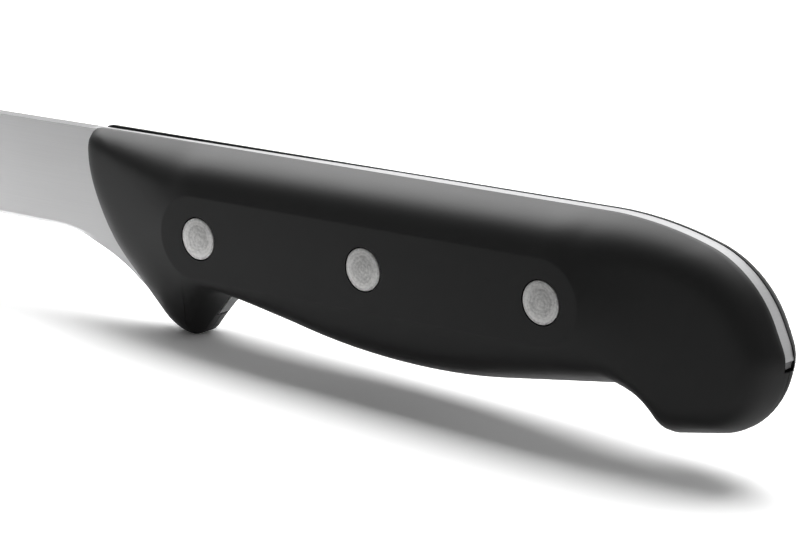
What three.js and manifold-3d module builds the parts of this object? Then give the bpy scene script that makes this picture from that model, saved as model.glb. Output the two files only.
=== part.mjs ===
// Ham knife: a long slicing blade with a full tang, two handle scales and three two-part rivets.
// Millimetres. +X runs from the tip to the butt, +Z from the edge to the spine, and the knife is
// symmetric about y = 0. The drawing starts where the spine meets the front of the handle.

import * as THREE from 'three';
import { ConvexGeometry } from 'three/addons/geometries/ConvexGeometry.js';
import { ParametricGeometry } from 'three/addons/geometries/ParametricGeometry.js';
import { mergeVertices } from 'three/addons/utils/BufferGeometryUtils.js';
import Module from 'manifold-3d';

const wasm = await Module();
wasm.setup();

// Handle, seen from the side: depths are below the spine, setbacks are ahead of the butt
const HANDLE_LENGTH = 126;
const HANDLE_THICKNESS = 16;
const FRONT_TOP_RADIUS = 2.6;
const FRONT_KNEE_DEPTH = 12.9;
const FRONT_KNEE_RADIUS = 26;
const GUARD_DEPTH = 29.1;
const GUARD_TOE_X = 17.15;
const GUARD_TOE_RADIUS = 11;
const GUARD_HEEL_X = 21.5;
const GUARD_HEEL_RADIUS = 4.5;
const NOTCH_X = 28.45;
const NOTCH_DEPTH = 21.05;
const NOTCH_RADIUS = 2.5;
const BELLY_X = 57.85;
const BELLY_DEPTH = 29.2;
const BELLY_RADIUS = 108;
const HOOK_SETBACK = 23.6;
const HOOK_DEPTH = 23.35;
const HOOK_RADIUS = 14.5;
const POMMEL_TOE_SETBACK = 19.55;
const POMMEL_TOE_DEPTH = 29.5;
const POMMEL_TOE_RADIUS = 5.1;
const BUTT_FOOT_SETBACK = 2.3;
const BUTT_FOOT_DEPTH = 26.65;
const BUTT_FOOT_RADIUS = 15.9;
const BUTT_BACK_DEPTH = 16.4;
const BUTT_BACK_RADIUS = 7.3;
const BUTT_CROWN_SETBACK = 4.9;
const BUTT_CROWN_DEPTH = 4.65;
const BUTT_CROWN_RADIUS = 19.5;
const SHOULDER_SETBACK = 21;
const SHOULDER_RADIUS = 69.5;

// Crowned outer face of a scale, which runs from the flat round the rivets down to the outline
const FLAT_RADIUS = 6.2;
const FLAT_LEAD = 1.1;
const CREASE_SLOPE = 0.27;
const CREASE_FADE = 20;
const RAMP_SLOPE = 0.2;
const RAMP_BLEND = 12;
const EDGE_ROUND_SHARE = 1.4;
const LOWER_ROUND_SHARE = 1;
const FRONT_ROUND_SHARE = 2.4;
const FRONT_SHARE_START = 4;
const FRONT_SHARE_FULL = 14;
const LOWER_SHARE_START = 14;
const LOWER_SHARE_FULL = 22;
const EDGE_ROUND_POWER = 3;
const TANG_LIP = 0.32;
const SEAM_LIP = 0.35;
const LIP_BLEND = 6;
const CROWN_RINGS = 8;
const RING_CROWDING = 1.7;
const OUTLINE_STEP = 5;
const OUTLINE_SAG = 0.04;
const SAME_POINT = 0.01;

// Blade and tang
const BLADE_LENGTH = 300;
const BLADE_HEIGHT = 16.25;
const STEEL_THICKNESS = 2;
const SPINE_RECESS = 0.1;
const SPINE_FALL = 0.005;
const SPINE_LEVEL_X = 60;
const EDGE_RISE = 0.002;
const EDGE_THICKNESS = 0.4;
const GRIND_START = 8;
const GRIND_FULL = 60;
const GRIND_BELOW_SPINE = 1;
const TIP_ANGLE = THREE.MathUtils.degToRad(18);
const TIP_SWEEP_RADIUS = 150;
const TIP_RADIUS = 1.2;
const HEEL_X = 0.5;
const HEEL_RADIUS = 31;
const HEEL_SLOPE = 0.7;
const TANG_DEPTH = 18.4;
const TANG_BEND_DEPTH = 14.7;
const TANG_BEND_RADIUS = 7;
const TANG_END_DEPTH = 16.6;
const TANG_END_RECESS = 0.35;
const TANG_STEP = 0.25;
const TANG_STEP_FALL = 0.2;
const TANG_TAIL = 1.1;
const TANG_END_TAPER = 14;
const TANG_CORNER_RADIUS = 2;
const SPUR_TOP_DROP = 0.3;
const SPUR_DEPTH = 25.4;
const SPUR_PROUD = 0.2;
const SPUR_HEEL_RADIUS = 0.4;
const SPUR_TOE_RADIUS = 3;

// Rivets
const RIVET_NAMES = ['front', 'middle', 'rear'];
const FRONT_RIVET_X = 27.7;
const REAR_RIVET_SETBACK = 35.3;
const RIVET_DEPTH = 12.3;
const RIVET_HEAD_DIAMETER = 6.2;
const RIVET_HEAD_THICKNESS = 2.2;
const RIVET_TUBE_DIAMETER = 4.4;
const RIVET_SHANK_DIAMETER = 2.8;
const RIVET_SEGMENTS = 32;

// Clearances
const SEAM_GAP = 0.1;
const TANG_FACE_GAP = 0.05;
const POCKET_GAP = 0.3;
const HEAD_GAP = 0.15;
const HEAD_SEAT_GAP = 0.05;
const TUBE_GAP = 0.2;
const SHANK_GAP = 0.1;
const SHANK_END_GAP = 0.5;
const OVERCUT = 4;

// Worked out from the sizes above
const HALF_THICKNESS = HANDLE_THICKNESS / 2;
const HALF_STEEL = STEEL_THICKNESS / 2;
const POCKET_FLOOR = HALF_STEEL + TANG_FACE_GAP;
const REAR_RIVET_X = HANDLE_LENGTH - REAR_RIVET_SETBACK;
const RIVET_PITCH = (REAR_RIVET_X - FRONT_RIVET_X) / (RIVET_NAMES.length - 1);
const TIP_CORNER_X = -BLADE_LENGTH - TIP_RADIUS * (1 / Math.tan(TIP_ANGLE / 2) - 1);
const SPINE_AT_TIP = -SPINE_RECESS - SPINE_FALL * (SPINE_LEVEL_X - TIP_CORNER_X);
const EDGE_AT_HEEL = -SPINE_RECESS - SPINE_FALL * SPINE_LEVEL_X - BLADE_HEIGHT;

const STEEL = { color: 0xb9babc, roughness: 0.35, metalness: 1 };
const POLYMER = { color: 0x161617, roughness: 0.5, metalness: 0 };
const RIVET_METAL = { color: 0xa9a8a5, roughness: 0.45, metalness: 1 };

// Solids: geometry goes in for a cut and comes back as geometry

function toSolid(geometry) {
  const bare = geometry.clone();
  bare.deleteAttribute('normal');
  bare.deleteAttribute('uv');
  const merged = mergeVertices(bare);
  const corners = merged.index.array;
  const triangles = [];
  for (let i = 0; i < corners.length; i += 3) {
    const [a, b, c] = corners.slice(i, i + 3);
    if (a !== b && b !== c && c !== a) triangles.push(a, b, c);
  }
  const vertProperties = new Float32Array(merged.attributes.position.array);
  const triVerts = new Uint32Array(triangles);
  return new wasm.Manifold(new wasm.Mesh({ numProp: 3, vertProperties, triVerts }));
}

function toGeometry(solid) {
  const { vertProperties, triVerts } = solid.getMesh();
  const geometry = new THREE.BufferGeometry();
  geometry.setAttribute('position', new THREE.BufferAttribute(vertProperties, 3));
  geometry.setIndex(new THREE.BufferAttribute(triVerts, 1));
  geometry.computeVertexNormals();
  return geometry;
}

// Outlines: a closed side view through corners [x, z, radius], with a tangent arc at each corner

function outlineThrough(corners) {
  const count = corners.length;
  const points = corners.map(([x, z]) => new THREE.Vector2(x, z));
  const arms = points.map((point, i) => {
    const toLast = points[(i + count - 1) % count].clone().sub(point);
    const toNext = points[(i + 1) % count].clone().sub(point);
    const turn = Math.PI - Math.abs(toLast.angleTo(toNext));
    return { toLast, toNext, turn, tangent: corners[i][2] * Math.tan(turn / 2) };
  });
  const shape = new THREE.Shape();
  arms.forEach((arm, i) => {
    const before = arms[(i + count - 1) % count];
    const after = arms[(i + 1) % count];
    const roomBefore = arm.toLast.length() / (before.tangent + arm.tangent);
    const roomAfter = arm.toNext.length() / (arm.tangent + after.tangent);
    const tangent = arm.tangent * Math.min(1, roomBefore, roomAfter);
    addCorner(shape, points[i], arm, tangent, i === 0);
  });
  shape.closePath();
  return shape;
}

function addCorner(shape, point, { toLast, toNext, turn }, tangent, first) {
  const start = toLast.clone().setLength(tangent).add(point);
  if (first) shape.moveTo(start.x, start.y);
  else shape.lineTo(start.x, start.y);
  if (tangent === 0) return;
  const end = toNext.clone().setLength(tangent).add(point);
  const radius = tangent / Math.tan(turn / 2);
  const middle = toLast.clone().normalize().add(toNext.clone().normalize());
  const centre = middle.setLength(radius / Math.cos(turn / 2)).add(point);
  const from = start.clone().sub(centre).angle();
  const to = end.clone().sub(centre).angle();
  const clockwise = toLast.cross(toNext) > 0;
  shape.absarc(centre.x, centre.y, radius, from, to, clockwise);
}

// Points along an outline, close enough for its arcs and no further apart than a step
function outlinePoints(shape, step = Infinity) {
  const points = shape.curves.flatMap((curve) => {
    const length = curve.getLength();
    const chord = curve.isEllipseCurve ? Math.sqrt(8 * OUTLINE_SAG * curve.xRadius) : Infinity;
    const steps = Math.max(1, Math.ceil(length / Math.min(step, chord)));
    return curve.getPoints(steps).slice(0, -1);
  });
  return points.filter((point, i) => point.distanceTo(points.at(i - 1)) > SAME_POINT);
}

// Plate of an outline, standing on its edge in the x-z plane between two values of y
function plate(shape, yLow, yHigh) {
  const flat = new THREE.Shape(outlinePoints(shape));
  const geometry = new THREE.ExtrudeGeometry(flat, { depth: yHigh - yLow, bevelEnabled: false, steps: 1 });
  geometry.rotateX(Math.PI / 2);
  geometry.translate(0, yHigh, 0);
  return geometry;
}

// Corners that the handle and the tang share round the butt
const BUTT_TOP = [
  [HANDLE_LENGTH - SHOULDER_SETBACK, 0, SHOULDER_RADIUS],
  [HANDLE_LENGTH - BUTT_CROWN_SETBACK, -BUTT_CROWN_DEPTH, BUTT_CROWN_RADIUS],
];

const HANDLE_OUTLINE = outlineThrough([
  [0, 0, FRONT_TOP_RADIUS],
  ...BUTT_TOP,
  [HANDLE_LENGTH, -BUTT_BACK_DEPTH, BUTT_BACK_RADIUS],
  [HANDLE_LENGTH - BUTT_FOOT_SETBACK, -BUTT_FOOT_DEPTH, BUTT_FOOT_RADIUS],
  [HANDLE_LENGTH - POMMEL_TOE_SETBACK, -POMMEL_TOE_DEPTH, POMMEL_TOE_RADIUS],
  [HANDLE_LENGTH - HOOK_SETBACK, -HOOK_DEPTH, HOOK_RADIUS],
  [BELLY_X, -BELLY_DEPTH, BELLY_RADIUS],
  [NOTCH_X, -NOTCH_DEPTH, NOTCH_RADIUS],
  [GUARD_HEEL_X, -GUARD_DEPTH, GUARD_HEEL_RADIUS],
  [GUARD_TOE_X, -GUARD_DEPTH, GUARD_TOE_RADIUS],
  [0, -FRONT_KNEE_DEPTH, FRONT_KNEE_RADIUS],
]);

// The guard's rear slope and the back of the butt above and below its corner, as x at a depth
function guardSlopeX(depth) {
  return THREE.MathUtils.mapLinear(depth, NOTCH_DEPTH, GUARD_DEPTH, NOTCH_X, GUARD_HEEL_X);
}

function upperButtX(depth) {
  const crownX = HANDLE_LENGTH - BUTT_CROWN_SETBACK;
  return THREE.MathUtils.mapLinear(depth, BUTT_CROWN_DEPTH, BUTT_BACK_DEPTH, crownX, HANDLE_LENGTH);
}

function lowerButtX(depth) {
  const footX = HANDLE_LENGTH - BUTT_FOOT_SETBACK;
  return THREE.MathUtils.mapLinear(depth, BUTT_BACK_DEPTH, BUTT_FOOT_DEPTH, HANDLE_LENGTH, footX);
}

// Steel blank

function bladeWithTang() {
  const endX = lowerButtX(TANG_END_DEPTH) - TANG_END_RECESS;
  const tailDepth = TANG_END_DEPTH + TANG_TAIL;
  const tailX = lowerButtX(tailDepth) - TANG_END_RECESS - TANG_STEP;
  const spurTop = NOTCH_DEPTH + SPUR_TOP_DROP;
  const spurToeX = HEEL_X + (SPUR_DEPTH + EDGE_AT_HEEL) / HEEL_SLOPE;
  const sweepRun = 1 / Math.tan(TIP_ANGLE);
  const sweepX = (TIP_CORNER_X + (SPINE_AT_TIP - EDGE_AT_HEEL) * sweepRun) / (1 - EDGE_RISE * sweepRun);
  const outline = outlineThrough([
    [TIP_CORNER_X, SPINE_AT_TIP, TIP_RADIUS],
    [SPINE_LEVEL_X, -SPINE_RECESS, 0],
    ...BUTT_TOP.map(([x, z, radius]) => [x - SPINE_RECESS, z - SPINE_RECESS, radius]),
    [upperButtX(TANG_BEND_DEPTH) - SPINE_RECESS, -TANG_BEND_DEPTH, TANG_BEND_RADIUS],
    [endX, -TANG_END_DEPTH, 0],
    [endX - TANG_STEP, -TANG_END_DEPTH - TANG_STEP_FALL, 0],
    [tailX, -tailDepth, 0],
    [HANDLE_LENGTH - TANG_END_TAPER, -TANG_DEPTH, TANG_CORNER_RADIUS],
    [NOTCH_X + TANG_CORNER_RADIUS, -TANG_DEPTH, TANG_CORNER_RADIUS],
    [guardSlopeX(spurTop) + SPUR_PROUD, -spurTop, 0],
    [guardSlopeX(SPUR_DEPTH) + SPUR_PROUD, -SPUR_DEPTH, SPUR_HEEL_RADIUS],
    [spurToeX, -SPUR_DEPTH, SPUR_TOE_RADIUS],
    [HEEL_X, EDGE_AT_HEEL, HEEL_RADIUS],
    [sweepX, EDGE_AT_HEEL - EDGE_RISE * sweepX, TIP_SWEEP_RADIUS],
  ]);
  let blank = toSolid(plate(outline, -HALF_STEEL, HALF_STEEL));
  blank = blank.subtract(grind(1)).subtract(grind(-1));
  for (const x of rivetPlaces()) blank = blank.subtract(tangHole(x));
  return toGeometry(blank);
}

// What the flat grind takes off one side: nothing at the handle, down to the edge's thickness below
function grind(side) {
  const high = -GRIND_BELOW_SPINE;
  const low = EDGE_AT_HEEL;
  const face = [
    [-GRIND_START, HALF_STEEL, high],
    [-GRIND_START, HALF_STEEL, low],
    [-GRIND_FULL, HALF_STEEL, high],
    [-GRIND_FULL, EDGE_THICKNESS / 2, low],
    [-BLADE_LENGTH - OVERCUT, HALF_STEEL, high],
    [-BLADE_LENGTH - OVERCUT, EDGE_THICKNESS / 2, low],
  ];
  const outer = face.map(([x, , z]) => [x, HALF_STEEL + OVERCUT, z]);
  const corners = [...face, ...outer].map(([x, y, z]) => new THREE.Vector3(x, side * y, z));
  return toSolid(new ConvexGeometry(corners));
}

// Scales

function rivetPlaces() {
  return RIVET_NAMES.map((name, i) => FRONT_RIVET_X + i * RIVET_PITCH);
}

// Nearest point of the line through the rivets
function onRivetLine(point) {
  const x = THREE.MathUtils.clamp(point.x, FRONT_RIVET_X - FLAT_LEAD, REAR_RIVET_X);
  return new THREE.Vector2(x, -RIVET_DEPTH);
}

function distanceToOutline(point, ring) {
  const nearest = ring.map((start, i) => {
    const along = ring[(i + 1) % ring.length].clone().sub(start);
    const share = point.clone().sub(start).dot(along) / along.lengthSq();
    return start.clone().addScaledVector(along, THREE.MathUtils.clamp(share, 0, 1)).distanceTo(point);
  });
  return Math.min(...nearest);
}

// Half thickness of the handle's edge: beside the tang, or beside the other scale where they meet
function lipHeight({ x, y: z }) {
  const behindNotch = THREE.MathUtils.smoothstep(x, NOTCH_X, NOTCH_X + LIP_BLEND);
  const blend = LIP_BLEND / 2;
  const belowTang = THREE.MathUtils.smoothstep(-z, TANG_END_DEPTH - blend, TANG_END_DEPTH + blend);
  const besideTang = POCKET_FLOOR + TANG_LIP;
  const besideScale = SEAM_GAP / 2 + SEAM_LIP;
  return THREE.MathUtils.lerp(besideTang, besideScale, behindNotch * belowTang);
}

// Half thickness of the handle at a point of the side view
function crownHeight(point, ring) {
  const fromFlat = Math.max(0, onRivetLine(point).distanceTo(point) - FLAT_RADIUS);
  const fromEdge = distanceToOutline(point, ring);
  const room = fromFlat + fromEdge;
  const ahead = 1 - THREE.MathUtils.smoothstep(point.x, FRONT_RIVET_X - RAMP_BLEND, FRONT_RIVET_X);
  const slope = THREE.MathUtils.lerp(CREASE_SLOPE, RAMP_SLOPE, ahead);
  const fade = (1 - ahead) / CREASE_FADE;
  const fall = (distance) => slope * distance / (1 + fade * distance);
  const drop = HALF_THICKNESS - fall(room) - lipHeight(point);
  const front = ahead * THREE.MathUtils.smoothstep(-point.y, FRONT_SHARE_START, FRONT_SHARE_FULL);
  const lower = (1 - ahead) * THREE.MathUtils.smoothstep(-point.y, LOWER_SHARE_START, LOWER_SHARE_FULL);
  const change = front * (FRONT_ROUND_SHARE - EDGE_ROUND_SHARE) + lower * (LOWER_ROUND_SHARE - EDGE_ROUND_SHARE);
  const share = EDGE_ROUND_SHARE + change;
  const rounding = Math.max(0, 1 - fromEdge / Math.min(room, share * drop));
  return HALF_THICKNESS - fall(fromFlat) - drop * rounding ** EDGE_ROUND_POWER;
}

// Closed blank of one scale: a flat pole, rings down to the outline, and a back beyond the seam
function scaleBlank(side) {
  const ring = outlinePoints(HANDLE_OUTLINE, OUTLINE_STEP);
  const lift = (point, y) => new THREE.Vector3(point.x, side * y, point.y);
  const centre = new THREE.Vector2((FRONT_RIVET_X + REAR_RIVET_X) / 2, -RIVET_DEPTH);
  const rows = [ring.map(() => lift(centre, HALF_THICKNESS))];
  for (let k = 0; k <= CROWN_RINGS; k += 1) {
    const share = 1 - (1 - k / CROWN_RINGS) ** RING_CROWDING;
    rows.push(ring.map((edge) => {
      const hub = onRivetLine(edge);
      const flat = edge.clone().sub(hub).setLength(FLAT_RADIUS).add(hub);
      const point = flat.lerp(edge, share);
      return lift(point, crownHeight(point, ring));
    }));
  }
  rows.push(ring.map((edge) => lift(edge, -OVERCUT)));
  rows.push(ring.map(() => lift(centre, -OVERCUT)));
  const last = rows.length - 1;
  const place = (u, v, target) => {
    const along = Math.round((side > 0 ? 1 - u : u) * ring.length) % ring.length;
    target.copy(rows[Math.round(v * last)][along]);
  };
  return toSolid(new ParametricGeometry(place, ring.length, last));
}

// Room for the tang in a scale: open at the front, the spine, the upper butt and the guard's rear slope
function tangPocket(side) {
  const low = TANG_DEPTH + POCKET_GAP;
  const endLow = TANG_END_DEPTH + TANG_TAIL + POCKET_GAP;
  const spurLow = SPUR_DEPTH + POCKET_GAP;
  const outline = outlineThrough([
    [-OVERCUT, OVERCUT, 0],
    [HANDLE_LENGTH + OVERCUT, OVERCUT, 0],
    [HANDLE_LENGTH + OVERCUT, -endLow, 0],
    [lowerButtX(endLow), -endLow, 0],
    [HANDLE_LENGTH - TANG_END_TAPER, -low, 0],
    [NOTCH_X + TANG_CORNER_RADIUS + POCKET_GAP, -low, 0],
    [NOTCH_X + POCKET_GAP, -NOTCH_DEPTH, 0],
    [NOTCH_X + POCKET_GAP, -spurLow, 0],
    [-OVERCUT, -spurLow, 0],
  ]);
  const inner = -OVERCUT;
  const [yLow, yHigh] = side > 0 ? [inner, POCKET_FLOOR] : [-POCKET_FLOOR, -inner];
  return toSolid(plate(outline, yLow, yHigh));
}

// All that lies on the other side of the seam
function beyondSeam(side) {
  const depth = 2 * OVERCUT;
  const room = new THREE.BoxGeometry(2 * HANDLE_LENGTH, depth, 2 * HANDLE_LENGTH);
  room.translate(HANDLE_LENGTH / 2, side * (SEAM_GAP / 2 - depth / 2), 0);
  return toSolid(room);
}

function scale(side) {
  let half = scaleBlank(side).subtract(beyondSeam(side)).subtract(tangPocket(side));
  for (const x of rivetPlaces()) half = half.subtract(rivetRoom(x, side));
  return toGeometry(half);
}

// Rivets: turned about an axis along y, with profiles [radius, y]

function turned(profile, x) {
  const points = profile.map(([radius, y]) => new THREE.Vector2(radius, y));
  return new THREE.LatheGeometry(points, RIVET_SEGMENTS).translate(x, 0, -RIVET_DEPTH);
}

const HEAD_RADIUS = RIVET_HEAD_DIAMETER / 2;
const TUBE_RADIUS = RIVET_TUBE_DIAMETER / 2;
const SHANK_RADIUS = RIVET_SHANK_DIAMETER / 2;
const HEAD_SEAT = HALF_THICKNESS - RIVET_HEAD_THICKNESS;

function tangHole(x) {
  const radius = TUBE_RADIUS + TUBE_GAP;
  const reach = HALF_STEEL + OVERCUT;
  return toSolid(turned([[0, -reach], [radius, -reach], [radius, reach], [0, reach]], x));
}

// Stepped hole through a scale, open to the outside for the head
function rivetRoom(x, side) {
  const radius = TUBE_RADIUS + TUBE_GAP;
  const headRadius = HEAD_RADIUS + HEAD_GAP;
  const seat = HEAD_SEAT - HEAD_SEAT_GAP;
  const outer = HALF_THICKNESS + OVERCUT;
  const profile = [[0, 0], [radius, 0], [radius, seat], [headRadius, seat], [headRadius, outer], [0, outer]];
  const facing = profile.map(([r, y]) => [r, side * y]);
  return toSolid(turned(side > 0 ? facing : facing.reverse(), x));
}

// Solid half, with its head in the left scale
function rivetPost(x) {
  const end = HEAD_SEAT - SHANK_END_GAP;
  return turned([
    [0, -HALF_THICKNESS],
    [HEAD_RADIUS, -HALF_THICKNESS],
    [HEAD_RADIUS, -HEAD_SEAT],
    [SHANK_RADIUS, -HEAD_SEAT],
    [SHANK_RADIUS, end],
    [0, end],
  ], x);
}

// Tubular half, with its head in the right scale
function rivetSocket(x) {
  const bore = SHANK_RADIUS + SHANK_GAP;
  const mouth = -HEAD_SEAT + HEAD_SEAT_GAP;
  return turned([
    [0, HEAD_SEAT],
    [bore, HEAD_SEAT],
    [bore, mouth],
    [TUBE_RADIUS, mouth],
    [TUBE_RADIUS, HEAD_SEAT],
    [HEAD_RADIUS, HEAD_SEAT],
    [HEAD_RADIUS, HALF_THICKNESS],
    [0, HALF_THICKNESS],
  ], x);
}

// Assembly

const assembly = new THREE.Group();

function addPiece(name, geometry, finish) {
  const mesh = new THREE.Mesh(geometry, new THREE.MeshStandardMaterial(finish));
  mesh.name = name;
  assembly.add(mesh);
}

addPiece('blade_with_tang', bladeWithTang(), STEEL);
addPiece('left_scale', scale(-1), POLYMER);
addPiece('right_scale', scale(1), POLYMER);
rivetPlaces().forEach((x, i) => {
  addPiece(`${RIVET_NAMES[i]}_rivet_post`, rivetPost(x), RIVET_METAL);
  addPiece(`${RIVET_NAMES[i]}_rivet_socket`, rivetSocket(x), RIVET_METAL);
});

// The knife's origin is under the middle of its length, level with the lowest point
const box = new THREE.Box3().setFromObject(assembly);
assembly.position.set(-(box.min.x + box.max.x) / 2, 0, -box.min.z);

const knife = new THREE.Group();
knife.add(assembly);

export default knife;
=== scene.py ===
# Looks of the ham knife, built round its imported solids. Metres, in the solids' own frame.

import math

import bmesh
import bpy
import numpy as np
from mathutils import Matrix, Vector


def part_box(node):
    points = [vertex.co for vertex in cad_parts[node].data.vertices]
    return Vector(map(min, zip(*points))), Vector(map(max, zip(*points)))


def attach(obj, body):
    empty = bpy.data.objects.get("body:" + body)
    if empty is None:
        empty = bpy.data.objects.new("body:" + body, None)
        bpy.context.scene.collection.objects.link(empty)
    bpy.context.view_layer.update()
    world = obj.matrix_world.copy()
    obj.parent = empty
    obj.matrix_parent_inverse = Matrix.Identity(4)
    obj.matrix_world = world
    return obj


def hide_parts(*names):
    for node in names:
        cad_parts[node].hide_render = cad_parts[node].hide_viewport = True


bl_info = {
    "name": "Ham knife",
    "version": (1, 0, 0),
    "blender": (4, 5, 0),
    "location": "3D View > Sidebar > Ham knife",
    "description": "Models the blade, the handle and the rivets of a ham knife, and its studio",
    "category": "Add Mesh",
}

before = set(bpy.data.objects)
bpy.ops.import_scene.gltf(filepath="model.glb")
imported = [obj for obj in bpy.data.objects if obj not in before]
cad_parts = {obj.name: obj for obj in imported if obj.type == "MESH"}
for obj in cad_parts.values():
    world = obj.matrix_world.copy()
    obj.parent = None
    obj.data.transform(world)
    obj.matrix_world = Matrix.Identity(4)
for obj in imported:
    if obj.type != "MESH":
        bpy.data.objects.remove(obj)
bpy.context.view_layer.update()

# Places that the solids give. The drawing starts where the spine meets the front of the handle
MM = 0.001
SCALE_LOW, SCALE_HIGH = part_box("left_scale")
DATUM = Vector((SCALE_LOW.x, 0, SCALE_HIGH.z))
RIVET_NAMES = ("front", "middle", "rear")


def rivet_centre(name):
    """Middle of a rivet's outer face on the knife's left."""
    low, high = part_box(f"{name}_rivet_post")
    return Vector(((low.x + high.x) / 2, low.y, (low.z + high.z) / 2))


RIVETS = [rivet_centre(name) for name in RIVET_NAMES]
RIVET_PITCH = RIVETS[1].x - RIVETS[0].x

# Handle from the side, in mm from the datum. A corner is its x, its z and its rounding
HANDLE_LENGTH = 126.0
GUARD_DEPTH = 29.1
GUARD_HEEL_X = 21.5
NOTCH_X = 28.45
NOTCH_DEPTH = 21.05
FRONT_TOP = (0.0, 0.0, 2.6)
SHOULDER = (HANDLE_LENGTH - 21.0, 0.0, 69.5)
BUTT_CROWN = (HANDLE_LENGTH - 4.9, -4.65, 19.5)
BUTT_BACK = (HANDLE_LENGTH, -16.4, 7.3)
BUTT_FOOT = (HANDLE_LENGTH - 2.3, -26.65, 15.9)
POMMEL_TOE = (HANDLE_LENGTH - 19.55, -29.5, 5.1)
HOOK = (HANDLE_LENGTH - 23.6, -23.35, 14.5)
BELLY = (57.85, -29.2, 108.0)
NOTCH = (NOTCH_X, -NOTCH_DEPTH, 2.5)
GUARD_HEEL = (GUARD_HEEL_X, -GUARD_DEPTH, 4.5)
GUARD_TOE = (17.15, -GUARD_DEPTH, 11.0)
FRONT_FOOT = (0.0, -12.9, 26.0)
HANDLE_CORNERS = (
    FRONT_TOP, SHOULDER, BUTT_CROWN, BUTT_BACK, BUTT_FOOT, POMMEL_TOE,
    HOOK, BELLY, NOTCH, GUARD_HEEL, GUARD_TOE, FRONT_FOOT,
)


def on_line(value, low, high, at_low, at_high):
    return at_low + (at_high - at_low) * (value - low) / (high - low)


def guard_slope_x(depth):
    """Rear slope of the guard at a depth."""
    return on_line(depth, NOTCH_DEPTH, GUARD_DEPTH, NOTCH_X, GUARD_HEEL_X)


def upper_butt_x(depth):
    """Back of the butt at a depth above its corner."""
    return on_line(-depth, BUTT_CROWN[1], BUTT_BACK[1], BUTT_CROWN[0], BUTT_BACK[0])


def lower_butt_x(depth):
    """Back of the butt at a depth below its corner."""
    return on_line(-depth, BUTT_BACK[1], BUTT_FOOT[1], BUTT_BACK[0], BUTT_FOOT[0])


# Blade from the side, in mm
BLADE_LENGTH = 300.0
SPINE_FALL = 0.005
SPINE_LEVEL_X = 60.0
SPINE_RECESS = 0.1
EDGE_AT_HEEL = -16.65
EDGE_RISE = 0.002
HEEL_X = 0.5
HEEL_SLOPE = 0.7
HEEL_RADIUS = 31.0
TIP_ANGLE = math.radians(18)
TIP_RADIUS = 1.2
TIP_X = -BLADE_LENGTH - TIP_RADIUS * (1 / math.tan(TIP_ANGLE / 2) - 1)
TIP_Z = -SPINE_RECESS - SPINE_FALL * (SPINE_LEVEL_X - TIP_X)
SWEEP_RUN = 1 / math.tan(TIP_ANGLE)
SWEEP_X = (TIP_X + (TIP_Z - EDGE_AT_HEEL) * SWEEP_RUN) / (1 - EDGE_RISE * SWEEP_RUN)
SWEEP_RADIUS = 150.0

# Tang between the scales, with its end in the butt and its spur in the guard
TANG_DEPTH = 18.4
TANG_CORNER = 2.0
TANG_TAPER_X = HANDLE_LENGTH - 14.0
TANG_BEND_DEPTH = 14.7
TANG_BEND_RADIUS = 7.0
TANG_END_DEPTH = 16.6
TANG_END_RECESS = 0.35
TANG_END_X = lower_butt_x(TANG_END_DEPTH) - TANG_END_RECESS
TANG_STEP = 0.25
TANG_STEP_FALL = 0.2
TANG_TAIL_FALL = 1.1
TANG_TAIL_DEPTH = TANG_END_DEPTH + TANG_TAIL_FALL
TANG_TAIL_X = lower_butt_x(TANG_TAIL_DEPTH) - TANG_END_RECESS - TANG_STEP
SPUR_TOP_FALL = 0.3
SPUR_TOP = NOTCH_DEPTH + SPUR_TOP_FALL
SPUR_DEPTH = 25.4
SPUR_PROUD = 0.2
SPUR_HEEL_RADIUS = 0.4
SPUR_TOE_RADIUS = 3.0
BLADE_CORNERS = (
    (TIP_X, TIP_Z, TIP_RADIUS),
    (SPINE_LEVEL_X, -SPINE_RECESS, 0.0),
    *((x - SPINE_RECESS, z - SPINE_RECESS, radius) for x, z, radius in (SHOULDER, BUTT_CROWN)),
    (upper_butt_x(TANG_BEND_DEPTH) - SPINE_RECESS, -TANG_BEND_DEPTH, TANG_BEND_RADIUS),
    (TANG_END_X, -TANG_END_DEPTH, 0.0),
    (TANG_END_X - TANG_STEP, -TANG_END_DEPTH - TANG_STEP_FALL, 0.0),
    (TANG_TAIL_X, -TANG_TAIL_DEPTH, 0.0),
    (TANG_TAPER_X, -TANG_DEPTH, TANG_CORNER),
    (NOTCH_X + TANG_CORNER, -TANG_DEPTH, TANG_CORNER),
    (guard_slope_x(SPUR_TOP) + SPUR_PROUD, -SPUR_TOP, 0.0),
    (guard_slope_x(SPUR_DEPTH) + SPUR_PROUD, -SPUR_DEPTH, SPUR_HEEL_RADIUS),
    (HEEL_X + (SPUR_DEPTH + EDGE_AT_HEEL) / HEEL_SLOPE, -SPUR_DEPTH, SPUR_TOE_RADIUS),
    (HEEL_X, EDGE_AT_HEEL, HEEL_RADIUS),
    (SWEEP_X, EDGE_AT_HEEL - EDGE_RISE * SWEEP_X, SWEEP_RADIUS),
)

# Room for the tang, cut out of each scale
POCKET_GAP = 0.3
OVERCUT = 4.0
POCKET_END = TANG_TAIL_DEPTH + POCKET_GAP
POCKET_CORNERS = (
    (-OVERCUT, OVERCUT, 0.0),
    (HANDLE_LENGTH + OVERCUT, OVERCUT, 0.0),
    (HANDLE_LENGTH + OVERCUT, -POCKET_END, 0.0),
    (lower_butt_x(POCKET_END), -POCKET_END, 0.0),
    (TANG_TAPER_X, -TANG_DEPTH - POCKET_GAP, 0.0),
    (NOTCH_X + TANG_CORNER + POCKET_GAP, -TANG_DEPTH - POCKET_GAP, 0.0),
    (NOTCH_X + POCKET_GAP, -NOTCH_DEPTH, 0.0),
    (NOTCH_X + POCKET_GAP, -SPUR_DEPTH - POCKET_GAP, 0.0),
    (-OVERCUT, -SPUR_DEPTH - POCKET_GAP, 0.0),
)


# Sizes and colours that a user would change


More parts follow.
